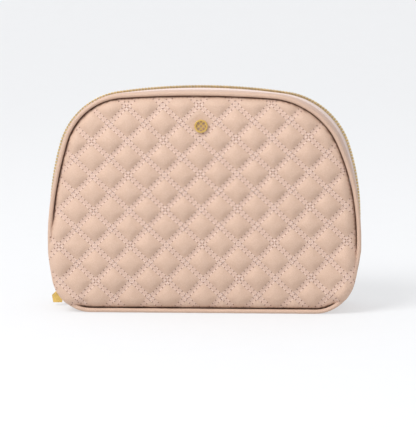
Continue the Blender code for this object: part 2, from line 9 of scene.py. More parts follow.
import bmesh
import bpy
import numpy as np
from bpy.props import FloatProperty, FloatVectorProperty, IntProperty, PointerProperty
from mathutils import Matrix, Vector
from mathutils.bvhtree import BVHTree

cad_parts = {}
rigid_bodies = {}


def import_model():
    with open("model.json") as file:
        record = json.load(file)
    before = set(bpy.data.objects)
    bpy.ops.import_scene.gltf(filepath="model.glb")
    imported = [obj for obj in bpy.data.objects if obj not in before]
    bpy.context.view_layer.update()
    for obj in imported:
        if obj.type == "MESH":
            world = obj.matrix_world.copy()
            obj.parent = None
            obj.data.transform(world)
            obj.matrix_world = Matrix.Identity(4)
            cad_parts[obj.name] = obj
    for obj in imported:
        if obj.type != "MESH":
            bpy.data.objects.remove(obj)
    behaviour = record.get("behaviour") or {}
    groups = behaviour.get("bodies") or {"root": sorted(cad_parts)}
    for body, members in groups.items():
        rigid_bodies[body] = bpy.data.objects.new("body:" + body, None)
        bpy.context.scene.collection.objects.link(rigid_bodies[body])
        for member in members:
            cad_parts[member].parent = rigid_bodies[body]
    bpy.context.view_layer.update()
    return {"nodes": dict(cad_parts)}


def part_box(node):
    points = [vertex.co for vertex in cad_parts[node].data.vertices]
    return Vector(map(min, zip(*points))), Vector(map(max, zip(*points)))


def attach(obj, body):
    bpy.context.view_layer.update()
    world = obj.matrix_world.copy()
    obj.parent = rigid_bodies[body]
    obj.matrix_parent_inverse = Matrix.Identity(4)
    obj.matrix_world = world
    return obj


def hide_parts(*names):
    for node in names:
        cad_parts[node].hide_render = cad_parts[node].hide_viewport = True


bl_info = {
    "name": "Quilted makeup bag",
    "version": (1, 0, 0),
    "blender": (4, 5, 0),
    "location": "View3D > Sidebar > Makeup bag",
    "description": "Builds the leather, stitching, zip, lining and stage of a quilted makeup bag",
    "category": "Object",
}

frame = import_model()

# The bag's own measures: read from its solids where they hold them, and chosen otherwise
PANEL_LOW, PANEL_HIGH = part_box("front_panel")
PIPING_LOW, PIPING_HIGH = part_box("front_piping")
EMBLEM_LOW, EMBLEM_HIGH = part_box("emblem")
PIPING_RADIUS = (PIPING_HIGH[1] - PIPING_LOW[1]) / 2
PIPING_DEPTH = -0.0007
HALF_DEPTH = 0.031
HALVES = (("front", -1, "front_half"), ("back", 1, "back_half"))
FACE_BULGE = -PANEL_LOW[1] - HALF_DEPTH
FACE_CENTRE_HEIGHT = 0.088
FACE_LEAN = 0.80
ZIP_LEAN = 0.20
LEAN_FROM = 0.088
LEFT_TAPER = 0.011
CORNER_TUCK = 0.045
CORNER_TUCK_BELOW = 0.050
EMBLEM_HEIGHT = (EMBLEM_LOW[2] + EMBLEM_HIGH[2]) / 2
EMBLEM_SHIFT = -0.0015
QUILT_ACROSS = -0.0012
QUILT_MIDDLE = 0.0840
OVERHANG = 0.0039
FULLNESS = 0.0030
SWELL_LIMIT = 0.0022
ROLL_WIDTH = 0.007
ROLL_DROP = 0.0026
BADGE_PRESS = (0.0062, 0.0125)
BADGE_HOLD = 0.007
BADGE_CLEAR = 0.006
BACK_SINKS = 0.0030
WALL_EDGE_LIFT = 0.0008
WALL_MIDDLE_DROP = 0.0010
TAPE_THICKNESS = 0.0006
STRIP_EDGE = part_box("back_zip_facing")[0][1] + 0.0020
TAPE_EDGE = STRIP_EDGE + 0.0020
TAPE_INNER_EDGE = 0.0028
STRIP_OUTER_EDGE = 0.0280
STRIP_TOP = 0.0014
TOPSTITCH_INSET = 0.0016
TOPSTITCH_PITCH = 0.0034
TOPSTITCH_SHARE = 0.78
STITCH_LIFT = 0.0015
TOOTH_HEIGHT = 0.0030
TOOTH_LENGTH = 0.00115
TOOTH_CROWN_START = 0.0010
TOOTH_FAR = 0.0034
TOOTH_INSET = 0.16
TOOTH_NOSE = 0.62
TEETH_START = 0.0044
TAPE_UNDERLAP = 0.0022
END_GAP = 0.0012
BASE_EDGE = 0.0282
BASE_TOP = 0.0014
BASE_INSIDE = 0.0005
LINING_INSET = 0.0038
LINING_THICKNESS = 0.0005
WALL_LINING_EDGES = (0.0240, 0.0088)
WALL_LINING_LAYERS = (-0.0012, -0.0018)
BASE_LINING_EDGE = 0.0225
BASE_LINING_LAYERS = (-0.0027, -0.0033)

# How the soft leather settles behind its roll: shares of the tuck and how far forward each stands
TUCK_RINGS = ((0.02, 0.0012), (0.5, 0.00112), (0.85, 0.0009), (1.0, -0.0029))

# The studio
CAMERA_TURN = math.radians(2.5)
CAMERA_RISE = math.radians(8.0)
CAMERA_TARGET = Vector((0.0024, 0.0, 0.0721))
CAMERA_DISTANCE = 2.1
VIEW_WIDTH = 0.348
SENSOR_WIDTH = 36.0
KEY_PLACE = (-1.3, -1.5, 2.1)
KEY_SIZE = (1.3, 1.3)
KEY_POWER = 65.0
KEY_COLOUR = (0.98, 0.99, 1.0)
AIR_COLOUR = (1.0, 0.975, 0.95, 1.0)
AIR_STRENGTH = 0.53


class BagSizes(bpy.types.PropertyGroup):
    """Sizes that give the bag its look."""

    diamond_width: FloatProperty(
        name="Diamond width", description="Side point to side point", default=0.0284, unit="LENGTH"
    )
    diamond_height: FloatProperty(
        name="Diamond height", description="Lower tip to upper tip", default=0.0278, unit="LENGTH"
    )
    quilt_turn: FloatProperty(
        name="Quilt turn", description="Lean of the quilting", default=0.025, unit="ROTATION"
    )
    quilt_squeeze: FloatProperty(
        name="Quilt squeeze",
        description="How much lower the top and bottom rows sit",
        default=0.00019,
        unit="LENGTH",
    )
    puff: FloatProperty(
        name="Puff", description="How far each diamond stands out", default=0.0026, unit="LENGTH"
    )
    row_gap: FloatProperty(
        name="Row gap", description="Between the two stitch rows", default=0.0029, unit="LENGTH"
    )
    stitches_per_side: FloatProperty(
        name="Stitches per side", description="Stitches along one diamond side", default=5.5
    )
    thread_radius: FloatProperty(
        name="Thread radius", description="Of the sewing thread", default=0.00022, unit="LENGTH"
    )
    tooth_pitch: FloatProperty(
        name="Tooth pitch", description="From tooth to tooth", default=0.0025, unit="LENGTH"
    )
    swell_frames: IntProperty(
        name="Swell frames", description="Steps of the padding's cloth simulation", default=20
    )


class BagColours(bpy.types.PropertyGroup):
    """Colours of the bag, in linear light."""

    leather: FloatVectorProperty(
        name="Leather", description="Blush leather", subtype="COLOR", default=(0.66, 0.468, 0.360)
    )
    thread: FloatVectorProperty(
        name="Thread", description="Quilting thread", subtype="COLOR", default=(0.84, 0.67, 0.60)
    )
    tape: FloatVectorProperty(
        name="Tape", description="Woven zip tape", subtype="COLOR", default=(0.80, 0.66, 0.61)
    )
    lining: FloatVectorProperty(
        name="Lining", description="Inner cloth", subtype="COLOR", default=(0.50, 0.33, 0.29)
    )
    strip: FloatVectorProperty(
        name="Strip", description="Leather along the zip", subtype="COLOR", default=(0.66, 0.47, 0.38)
    )
    gold: FloatVectorProperty(
        name="Gold", description="Badge and pull", subtype="COLOR", default=(0.83, 0.56, 0.17)
    )
    brass: FloatVectorProperty(
        name="Brass", description="Zip teeth", subtype="COLOR", default=(0.78, 0.58, 0.28)
    )


def sizes():
    return bpy.context.scene.bag_sizes


def colours():
    return bpy.context.scene.bag_colours


class Outline:
    """A closed outline, the same left and right, made of arcs that run into one another."""

    def __init__(self, half_width, widest_at, side_radius, angles, bottom, top, lean):
        """The angles are where the arcs meet. The top leans left, more with its height."""
        low, high, upper = angles
        side_x = half_width - side_radius
        low_x = side_x + side_radius * math.cos(low)
        low_z = widest_at + side_radius * math.sin(low)
        high_x = side_x + side_radius * math.cos(high)
        high_z = widest_at + side_radius * math.sin(high)
        corner = (low_z - bottom) / (1 + math.sin(low))
        crown_rise = (1 - math.sin(upper)) / math.cos(upper)
        climb = math.sin(upper) - math.sin(high)
        run = math.cos(high) - math.cos(upper)
        shoulder = (top - high_z - crown_rise * high_x) / (climb - crown_rise * run)
        crown = (high_x - shoulder * run) / math.cos(upper)
        self.bottom = bottom
        self.lean = lean
        self.half_width = half_width
        self.flat = low_x - corner * math.cos(low)
        shoulder_x = high_x - shoulder * math.cos(high)
        shoulder_z = high_z - shoulder * math.sin(high)
        self.arcs = [
            (self.flat, bottom + corner, corner, -math.pi / 2, low),
            (side_x, widest_at, side_radius, low, high),
            (shoulder_x, shoulder_z, shoulder, high, upper),
            (0.0, top - crown, crown, upper, math.pi / 2),
        ]
        self.lengths = [self.flat] + [arc[2] * (arc[4] - arc[3]) for arc in self.arcs]
        self.half_length = sum(self.lengths)

    def at(self, fraction):
        """A point and its outward direction: 0 bottom centre, 1 top centre, 2 bottom again."""
        fraction %= 2
        side = -1 if fraction > 1 else 1
        point, outward = self.on_right_half(min(fraction, 2 - fraction))
        lean = self.lean * max(point.y - LEAN_FROM, 0.0) ** 2
        slack = self.slack(side, point.y)
        x = side * point.x * (1 - slack) - lean
        return Vector((x, point.y)), Vector((side * outward.x, outward.y))

    def slack(self, side, height):
        """How much the soft face falls short of its even outline, as a share of its width."""
        if self is not FACE:
            return 0.0
        tuck = CORNER_TUCK * max(1 - height / CORNER_TUCK_BELOW, 0.0)
        return tuck if side > 0 else LEFT_TAPER + 0.5 * tuck

    def on_right_half(self, fraction):
        left = fraction * self.half_length
        if left <= self.flat:
            return Vector((left, self.bottom)), Vector((0.0, -1.0))
        left -= self.flat
        for x, z, radius, start, end in self.arcs:
            angle = start + left / radius
            if angle <= end + 1e-6:
                break
            left -= radius * (end - start)
        outward = Vector((math.cos(angle), math.sin(angle)))
        return Vector((x, z)) + outward * radius, outward


FACE_ANGLES = [math.radians(angle) for angle in (-8, 20.8, 86)]
ZIP_ANGLES = [math.radians(angle) for angle in (-17.5, 17, 81.5)]
FACE = Outline(PANEL_HIGH[0], 0.057, 0.220, FACE_ANGLES, PANEL_LOW[2], PANEL_HIGH[2], FACE_LEAN)
ZIP = Outline(0.124, 0.073, 0.201, ZIP_ANGLES, 0.0012, 0.178, ZIP_LEAN)
ZIP_START = (ZIP.lengths[0] + ZIP.lengths[1]) / ZIP.half_length


def outline_table(outline, count=4000):
    """The outline's reach from the face's centre at each angle round it, for looking up."""
    points = [outline.at(2 * i / count)[0] for i in range(count)]
    angle = np.array([math.atan2(p.y - FACE_CENTRE_HEIGHT, p.x) for p in points])
    reach = np.array([math.hypot(p.x, p.y - FACE_CENTRE_HEIGHT) for p in points])
    return angle, reach


FACE_TABLE = outline_table(FACE)


def face_scale(x, z):
    """Where points of the face lie between its centre, 0, and its outline, 1; and that reach."""
    angle = np.arctan2(z - FACE_CENTRE_HEIGHT, x)
    reach = np.interp(angle, *FACE_TABLE, period=2 * math.pi)
    return np.hypot(x, z - FACE_CENTRE_HEIGHT) / reach, reach


def bulge(scale):
    """How far a face stands out at each scale."""
    return FACE_BULGE * (1 - np.minimum(scale, 1.0) ** 3)


def wall_point(fraction, y, lift):
    """A point of the wall between the faces, raised outwards from the zip tape's outer side."""
    edge, edge_out = FACE.at(fraction)
    middle, middle_out = ZIP.at(fraction)
    edge = edge + edge_out * (WALL_EDGE_LIFT + lift)
    middle = middle + middle_out * (lift - WALL_MIDDLE_DROP)
    point = middle + (edge - middle) * (abs(y) / HALF_DEPTH)
    return Vector((point.x, y, point.y))


def zip_frame(length):
    """The zip's middle line at a length from bottom centre: a matrix with -X out and Z along it."""
    point, outward = ZIP.at(length / ZIP.half_length)
    out = Vector((outward.x, 0.0, outward.y))
    place = Vector((point.x, 0.0, point.y)) - out * (WALL_MIDDLE_DROP + TAPE_THICKNESS / 2)
    across = Vector((0.0, 1.0, 0.0))
    along = (-out).cross(across)
    turned = Matrix((-out, across, along)).transposed().to_4x4()
    turned.translation = place
    return turned


# Materials


class Socket:
    """One value on its way through a material. Arithmetic on it adds Math nodes."""

    def __init__(self, look, socket):
        self.look = look
        self.socket = socket

    def math(self, operation, *others):
        return self.look.node("ShaderNodeMath", {"operation": operation}, (self, *others))

    def __add__(self, other):
        return self.math("ADD", other)

    __radd__ = __add__

    def __mul__(self, other):
        return self.math("MULTIPLY", other)

    __rmul__ = __mul__

    def __sub__(self, other):
        return self.math("SUBTRACT", other)

    def __rsub__(self, other):
        return self.look.node("ShaderNodeMath", {"operation": "SUBTRACT"}, (other, self))

    def __truediv__(self, other):
        return self.math("DIVIDE", other)

    def __abs__(self):
        return self.math("ABSOLUTE")

    def fraction(self):
        return self.math("FRACT")

    def rounded(self):
        return self.math("ROUND")

    def below(self, limit, soft):
        """1 well below the limit, 0 well above it, and smooth between."""
        settings = {"interpolation_type": "SMOOTHSTEP"}
        inputs = {"Value": self, "From Min": limit - soft, "From Max": limit + soft}
        inputs.update({"To Min": 1.0, "To Max": 0.0})
        return self.look.node("ShaderNodeMapRange", settings, inputs)


class Look:
    """A node-built material."""

    def __init__(self, name):
        self.material = bpy.data.materials.new(name)
        self.material.use_nodes = True
        self.tree = self.material.node_tree
        self.shader = self.tree.nodes["Principled BSDF"]

    def connect(self, socket, value):
        if isinstance(value, Socket):
            self.tree.links.new(value.socket, socket)
        elif value is not None:
            socket.default_value = value

    def node(self, kind, settings=None, inputs=(), output=0):
        """Add a node: its settings first, then its values or links, by place or by name."""
        made = self.tree.nodes.new(kind)
        for key, value in (settings or {}).items():
            setattr(made, key, value)
        pairs = inputs.items() if isinstance(inputs, dict) else enumerate(inputs)
        for key, value in pairs:
            self.connect(made.inputs[key], value)
        return Socket(self, made.outputs[output])

    def place(self):
        return self.node("ShaderNodeTexCoord", output="Object")

    def uv(self, name="flat"):
        return self.node("ShaderNodeUVMap", {"uv_map": name})

    def attribute(self, name):
        return self.node("ShaderNodeAttribute", {"attribute_name": name}, output="Fac")

    def split(self, vector):
        made = self.node("ShaderNodeSeparateXYZ", inputs=(vector,))
        outputs = made.socket.node.outputs
        return [Socket(self, outputs[i]) for i in range(3)]

    def noise(self, vector, scale, detail=3.0, roughness=0.5):
        inputs = {"Vector": vector, "Scale": scale, "Detail": detail, "Roughness": roughness}
        return self.node("ShaderNodeTexNoise", {}, inputs)

    def cells(self, vector, scale, feature="DISTANCE_TO_EDGE"):
        inputs = {"Vector": vector, "Scale": scale}
        return self.node("ShaderNodeTexVoronoi", {"feature": feature}, inputs)

    def mix(self, factor, first, second, blend="MIX"):
        """Blend two colours."""
        made = self.tree.nodes.new("ShaderNodeMix")
        made.data_type = "RGBA"
        made.blend_type = blend
        self.connect(made.inputs["Factor"], factor)
        for key, value in ((6, first), (7, second)):
            colour = value if isinstance(value, Socket) else (*value, 1.0)
            self.connect(made.inputs[key], colour)
        return Socket(self, made.outputs[2])

    def bump(self, height, distance, strength=1.0, normal=None):
        inputs = {"Height": height, "Distance": distance, "Strength": strength}
        if normal is not None:
            inputs["Normal"] = normal
        return self.node("ShaderNodeBump", {}, inputs)

    def finish(self, **sockets):
        for name, value in sockets.items():
            self.connect(self.shader.inputs[name.replace("_", " ")], value)
        return self.material


def shade(colour, amount):
    return tuple(c * amount for c in colour)


def leather_surface(look, colour):
    """Grained leather: its colour, its roughness and its bump before any stitching."""
    place = look.place()
    drift = look.noise(place, 18.0, 3.0)
    fine = look.noise(place, 260.0, 4.0)
    pebble = look.cells(place, 820.0)
    crease = look.noise(place, 1500.0, 5.0, 0.6)
    warm = tuple(c * w for c, w in zip(colour, (0.88, 0.78, 0.70)))
    tone = look.mix(drift, shade(colour, 0.965), shade(colour, 1.035))
    tone = look.mix(fine * 0.30, tone, warm)
    valleys = pebble.below(0.10, 0.08)
    tone = look.mix(valleys * 0.26, tone, shade(warm, 0.80))
    height = (1 - valleys) * 0.7 + crease * 0.6
    bumped = look.bump(height, 0.00028, 0.9)
    rough = fine * 0.14 + drift * 0.06 + 0.40
    return tone, rough, bumped


def leather_look(name, colour):
    look = Look(name)
    tone, rough, bumped = leather_surface(look, colour)
    return look.finish(Base_Color=tone, Roughness=rough, Normal=bumped, Specular_IOR_Level=0.42)


def quilted_look(name):
    """Leather with rows of needle holes on each side of every quilting line, with painted shade in
    the holes and along the seam by the piping.
    """
    look = Look(name)
    size = sizes()
    colour = tuple(colours().leather)
    side = math.hypot(size.diamond_width, size.diamond_height) / 2
    row = row_offset()
    tone, rough, bumped = leather_surface(look, colour)
    u, v, _ = look.split(look.uv("quilt"))
    holes = None
    channel = None
    for across, along in ((u, v), (v, u)):
        offset = abs(across - across.rounded())
        steps = (along * size.stitches_per_side).fraction() - 0.5
        to_row = (offset - row) * side
        to_hole = steps * (side / size.stitches_per_side)
        distance = (to_row * to_row + to_hole * to_hole).math("SQRT")
        hole = distance.below(0.00050, 0.00016)
        line = offset.below(row * 1.15, row * 0.55)
        holes = hole if holes is None else holes.math("MAXIMUM", hole)
        channel = line if channel is None else channel.math("MAXIMUM", line)
    # Painted shade: the "seam" attribute darkens the leather where it dips into the groove by the
    # piping
    seam = look.attribute("seam")
    tone = look.mix(channel * 0.22, tone, (0.78, 0.56, 0.49))
    # Painted shade inside each needle hole: the holes are coloured dark brown
    tone = look.mix(holes * 0.92, tone, (0.24, 0.105, 0.075))
    tone = look.mix(seam, tone, (0.16, 0.058, 0.028))
    sunk = look.bump(1 - holes, 0.0005, 0.8, bumped)
    return look.finish(
        Base_Color=tone, Roughness=rough + holes * 0.3, Normal=sunk, Specular_IOR_Level=0.42
    )


def thread_look(name, colour):
    """Twisted thread, by the fine stripes that run along each stitch."""
    look = Look(name)
    place = look.place()
    twist = look.node(
        "ShaderNodeTexWave",
        {"wave_type": "BANDS", "bands_direction": "DIAGONAL"},
        {"Vector": place, "Scale": 900.0, "Distortion": 1.5, "Detail": 1.0},
        output="Fac",
    )
    tone = look.mix(twist, shade(colour, 0.82), shade(colour, 1.08))
    bumped = look.bump(twist, 0.00008, 0.6)
    return look.finish(Base_Color=tone, Roughness=0.6, Normal=bumped)


def woven_look(name, colour, per_metre, ribs=0.0):
    """Plain weave on the piece's own flat map, in metres, with optional ribs along it."""
    look = Look(name)
    u, v, _ = look.split(look.uv())
    warp = (u * per_metre).math("SINE")
    weft = (v * per_metre).math("SINE")
    weave = (warp * weft) * 0.5 + 0.5
    fuzz = look.noise(look.place(), 700.0, 3.0)
    drift = look.noise(look.place(), 30.0, 2.0)
    tone = look.mix(weave, shade(colour, 0.80), shade(colour, 1.10))
    tone = look.mix(fuzz * 0.35, tone, shade(colour, 0.88))
    tone = look.mix(drift * 0.25, tone, shade(colour, 0.92))
    height = weave + fuzz * 0.4
    if ribs:
        height = height + (v * ribs).math("SINE") * 0.8
    bumped = look.bump(height, 0.00015, 0.7)
    return look.finish(Base_Color=tone, Roughness=fuzz * 0.1 + 0.74, Normal=bumped)


def metal_look(name, colour, rough, wear):
    """Plated metal with faint brushing, soft smears and tarnish."""
    look = Look(name)
    place = look.place()
    smear = look.noise(place, 260.0, 4.0)
    scratch = look.noise(place, 2200.0, 2.0)
    dull = smear.below(0.50, 0.16)
    tone = look.mix(dull * wear, colour, shade(colour, 0.42))
    roughness = smear * 0.16 + scratch * 0.06 + rough
    bumped = look.bump(scratch + smear * 0.5, 0.00003, 0.35)
    return look.finish(Base_Color=tone, Metallic=1.0, Roughness=roughness, Normal=bumped)


def board_look(name):
    look = Look(name)
    fibres = look.noise(look.place(), 600.0, 6.0, 0.7)
    tone = look.mix(fibres, (0.30, 0.24, 0.17), (0.50, 0.42, 0.32))
    return look.finish(Base_Color=tone, Roughness=0.9, Normal=look.bump(fibres, 0.0002, 0.5))


LOOKS = {}


def look_for(name, make, *values):
    """A material by name, made the first time that it is asked for."""
    if name not in LOOKS:
        LOOKS[name] = make(name, *values)
    return LOOKS[name]


def thread():
    return look_for("quilting_thread", thread_look, tuple(colours().thread))


def lining_weave():
    return look_for("lining_weave", woven_look, tuple(colours().lining), 6500.0)


def gold():
    return look_for("gold_metal", metal_look, tuple(colours().gold), 0.16, 0.25)


# Mesh helpers


def deselect():
    if bpy.context.object and bpy.context.object.mode != "OBJECT":
        bpy.ops.object.mode_set(mode="OBJECT")
    for piece in bpy.context.selected_objects:
        piece.select_set(False)


def activate(piece):
    deselect()
    piece.select_set(True)
    bpy.context.view_layer.objects.active = piece


def new_piece(name, points, faces, look, body, smooth=True):
    """A piece from its points and faces, riding on a body."""
    mesh = bpy.data.meshes.new(name)
    mesh.from_pydata([tuple(p) for p in points], [], [tuple(f) for f in faces])
    mesh.validate()
    mesh.materials.append(look)
    piece = bpy.data.objects.new(name, mesh)
    bpy.context.scene.collection.objects.link(piece)
    for face in mesh.polygons:
        face.use_smooth = smooth
    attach(piece, body)
    return piece


def face_outwards(piece):
    """Make a closed mesh's faces point out."""
    bm = bmesh.new()
    bm.from_mesh(piece.data)
    bmesh.ops.recalc_face_normals(bm, faces=bm.faces)
    bm.to_mesh(piece.data)
    bm.free()


def add_flat_map(piece, values, name="flat"):
    """Give each point of a mesh its place on the flat cloth."""
    layer = piece.data.uv_layers.new(name=name)
    loops = np.zeros(len(piece.data.loops), np.int32)
    piece.data.loops.foreach_get("vertex_index", loops)
    layer.data.foreach_set("uv", np.asarray(values, np.float32)[loops].ravel())


def flat_map(piece, name):
    """Read back each point's place on the flat cloth."""
    loops = np.zeros(len(piece.data.loops), np.int32)
    piece.data.loops.foreach_get("vertex_index", loops)
    values = np.zeros(2 * len(loops), np.float32)
    piece.data.uv_layers[name].data.foreach_get("uv", values)
    places = np.zeros((len(piece.data.vertices), 2))
    places[loops] = values.reshape(-1, 2)
    return places


def grid_faces(rows, columns, close_rows=False, close_columns=False):
    faces = []
    for i in range(rows if close_rows else rows - 1):
        for j in range(columns if close_columns else columns - 1):
            a = i * columns + j
            b = i * columns + (j + 1) % columns
            c = ((i + 1) % rows) * columns + (j + 1) % columns
            d = ((i + 1) % rows) * columns + j
            faces.append((a, b, c, d))
    return faces


def wall_fractions(start, end, spacing):
    """Fractions of the outline, close together enough to look round."""
    count = max(2, round((end - start) * ZIP.half_length / spacing))
    return [start + (end - start) * i / count for i in range(count + 1)]


def wall_strip(name, profile, fractions, look, body):
    """A closed strip of the wall. Its profile is a ring of depths and lifts."""
    points = [wall_point(f, y, lift) for f in fractions for y, lift in profile]
    count = len(profile)
    faces = grid_faces(len(fractions), count, close_columns=True)
    faces.append(tuple(range(count)))
    faces.append(tuple(reversed(range(len(points) - count, len(points)))))
    piece = new_piece(name, points, faces, look, body)
    across = np.cumsum([0.0] + [math.dist(a, b) for a, b in zip(profile, profile[1:])])
    flat = [(f * ZIP.half_length, across[j]) for f in fractions for j in range(count)]
    add_flat_map(piece, flat)
    face_outwards(piece)
    return piece


def rounded_profile(near, far, outer, inner, crown=0.0, steps=5):
    """A ring of depths and lifts: a flat band with soft edges and a slight crown."""
    edge = (outer - inner) / 2
    middle = (outer + inner) / 2
    sign = 1 if far > near else -1
    ring = []
    for i in range(steps + 1):
        share = i / steps
        y = near + sign * edge + (far - near - 2 * sign * edge) * share
        ring.append((y, outer + crown * (1 - (2 * share - 1) ** 2)))
    ring.append((far - sign * edge * 0.3, middle + edge * 0.6))
    ring.append((far, middle))
    ring.append((far - sign * edge * 0.3, middle - edge * 0.6))
    for i in range(steps + 1):
        share = 1 - i / steps
        ring.append((near + sign * edge + (far - near - 2 * sign * edge) * share, inner))
    ring.append((near + sign * edge * 0.3, middle - edge * 0.6))
    ring.append((near, middle))
    ring.append((near + sign * edge * 0.3, middle + edge * 0.6))
    return ring


def ring_piece(name, section, look, body, side, spacing=0.0022, wave=0.0):
    """A closed ring along the face's outline. Its section is in outward and depth offsets."""
    count = round(2 * FACE.half_length / spacing)
    points = []
    for i in range(count):
        point, outward = FACE.at(2 * i / count)
        swell = 1 + wave * math.sin(i * 0.9) * math.sin(i * 0.37 + 1)
        for out, depth in section:
            placed = point + outward * out * swell
            points.append((placed.x, side * (HALF_DEPTH + depth), placed.y))
    columns = len(section)
    piece = new_piece(
        name, points, grid_faces(count, columns, True, True), look, body
    )
    girth = np.cumsum([0.0] + [math.dist(a, b) for a, b in zip(section, section[1:])])
    step = 2 * FACE.half_length / count
    add_flat_map(piece, [(i * step, girth[j]) for i in range(count) for j in range(columns)])
    face_outwards(piece)
    return piece


def stitch_mesh(name, stitches, radius, look, body, sides=5):
    """Many short stitches as one mesh. Each is its two ends and the direction away from the cloth."""
    shape = [(0.09, -1.0, 0.5), (0.2, 0.3, 0.95), (0.5, 0.7, 1.0), (0.8, 0.3, 0.95)]
    shape.append((0.91, -1.0, 0.5))
    template_faces = grid_faces(len(shape), sides, close_columns=True)
    points = []
    faces = []
    for start, end, up in stitches:
        base = len(points)
        along = (end - start).normalized()
        across = up.cross(along).normalized()
        raised = along.cross(across)
        for share, lift, girth in shape:
            middle = start.lerp(end, share) + raised * (lift * radius)
            for k in range(sides):
                turn = 2 * math.pi * k / sides
                spoke = across * math.cos(turn) + raised * math.sin(turn)
                points.append(middle + spoke * radius * girth)
        faces += [tuple(base + i for i in face) for face in template_faces]
    piece = new_piece(name, points, faces, look, body)
    return piece


# Quilted faces


def quilt_lines(low, high, row, between):
    """Grid lines across the quilting: on both stitch rows, between them and over each diamond."""
    lines = []
    for cell in range(math.floor(low), math.ceil(high)):
        lines += [cell, cell + row]
        step = (1 - 2 * row) / between
        lines += [cell + row + step * i for i in range(1, between)]
        lines.append(cell + 1 - row)
    return [line for line in lines if low <= line <= high]


def quilt_profile(distance, row):
    """The pillow height across one direction, from the stitch row to the diamond's middle."""
    share = np.clip((distance - row) / (0.5 - row), 0.0, 1.0)
    return 1 - (1 - share) ** 2.4


def quilt_point(u, v):
    """Where a place in the quilting lies on the face. Stitch lines cross at whole numbers."""
    size = sizes()
    across = (u + v) * size.diamond_width / 2
    rows = (u - v) / 2
    up = rows * size.diamond_height
    lean = size.quilt_turn
    x = across * math.cos(lean) - up * math.sin(lean)
    z = across * math.sin(lean) + up * math.cos(lean)
    return x + QUILT_ACROSS, z + QUILT_MIDDLE - size.quilt_squeeze * rows * rows


def overhang(x, z):
    """How much the padding hangs over the piping: 1 round the lower corners, 0 elsewhere."""
    left = smooth_step(z, 0.0042, 0.0085) * (1 - smooth_step(z, 0.046, 0.082))
    right = smooth_step(z, 0.0065, 0.0135) * (1 - smooth_step(z, 0.030, 0.058))
    return np.where(x < 0, left, right)


def padded_scale(x, z):
    """Each point's share of the way to the padded rim, the rim's reach and its overhang."""
    scale, reach = face_scale(x, z)
    stretch = 1 / np.maximum(scale, 1e-6)
    over = overhang(x * stretch, FACE_CENTRE_HEIGHT + (z - FACE_CENTRE_HEIGHT) * stretch)
    rim = reach + OVERHANG * over
    return scale * reach / rim, rim, over


def quilted_sheet():
    """The quilted leather before it swells: its points' places, quilt places and quads."""
    lines = quilt_lines(-9, 9, row_offset(), 8)
    u, v = np.meshgrid(lines, lines, indexing="ij")
    x, z = quilt_point(u, v)
    inside = padded_scale(x, z)[0] < 1.0
    faces = []
    rows, columns = u.shape
    for i in range(rows - 1):
        for j in range(columns - 1):
            if inside[i : i + 2, j : j + 2].any():
                a = i * columns + j
                faces.append((a, a + columns, a + columns + 1, a + 1))
    used = sorted({corner for face in faces for corner in face})
    place = {corner: n for n, corner in enumerate(used)}
    faces = [tuple(place[c] for c in face) for face in faces]
    x, z, u, v = (a.ravel()[used] for a in (x, z, u, v))
    outside = np.maximum(padded_scale(x, z)[0], 1.0)
    x = x / outside
    z = FACE_CENTRE_HEIGHT + (z - FACE_CENTRE_HEIGHT) / outside
    return x, z, u, v, faces


def rim_loop(faces, x, z):
    """The points on the sheet's edge, in order round the face."""
    sides = {}
    for face in faces:
        for a, b in zip(face, face[1:] + face[:1]):
            key = (min(a, b), max(a, b))
            sides[key] = sides.get(key, 0) + 1
    edge = sorted({corner for key, count in sides.items() if count == 1 for corner in key})
    return sorted(edge, key=lambda n: math.atan2(z[n] - FACE_CENTRE_HEIGHT, x[n]))


def resting_depth(x, z, u, v):
    """How far forward the quilted leather stands before it swells."""
    row = row_offset()
    scale, rim, over = padded_scale(x, z)
    edge = (1 - scale) * rim
    pillow = quilt_profile(np.abs(u - np.round(u)), row)
    pillow = pillow * quilt_profile(np.abs(v - np.round(v)), row)
    uneven = 1 + 0.10 * np.sin(3.1 * np.floor(u) + 1.7 * np.floor(v))
    roll = 1 - np.clip(edge / ROLL_WIDTH, 0.0, 1.0)
    fall = ROLL_DROP * (1 - np.sqrt(np.clip(1 - roll**2, 0.0, 1.0)))
    rising = 0.25 + 0.75 * np.clip(edge / 0.006, 0.0, 1.0)
    pressed = np.hypot(x - EMBLEM_SHIFT, z - EMBLEM_HEIGHT)
    flat = smooth_step(pressed, *BADGE_PRESS)
    puff = sizes().puff * pillow * uneven * rising * flat
    full = FULLNESS * over * (1 - smooth_step(edge, 0.006, 0.026))
    domed = bulge(np.minimum(scale * rim / (rim - OVERHANG * over), 1.0))
    return HALF_DEPTH + domed + full - fall + puff - 0.0003


def row_offset():
    """How far each stitch row lies from its quilting line, as a share of a diamond's side."""
    size = sizes()
    return size.row_gap / math.hypot(size.diamond_width, size.diamond_height)


def smooth_step(value, low, high):
    share = np.clip((value - low) / (high - low), 0.0, 1.0)
    return share * share * (3 - 2 * share)


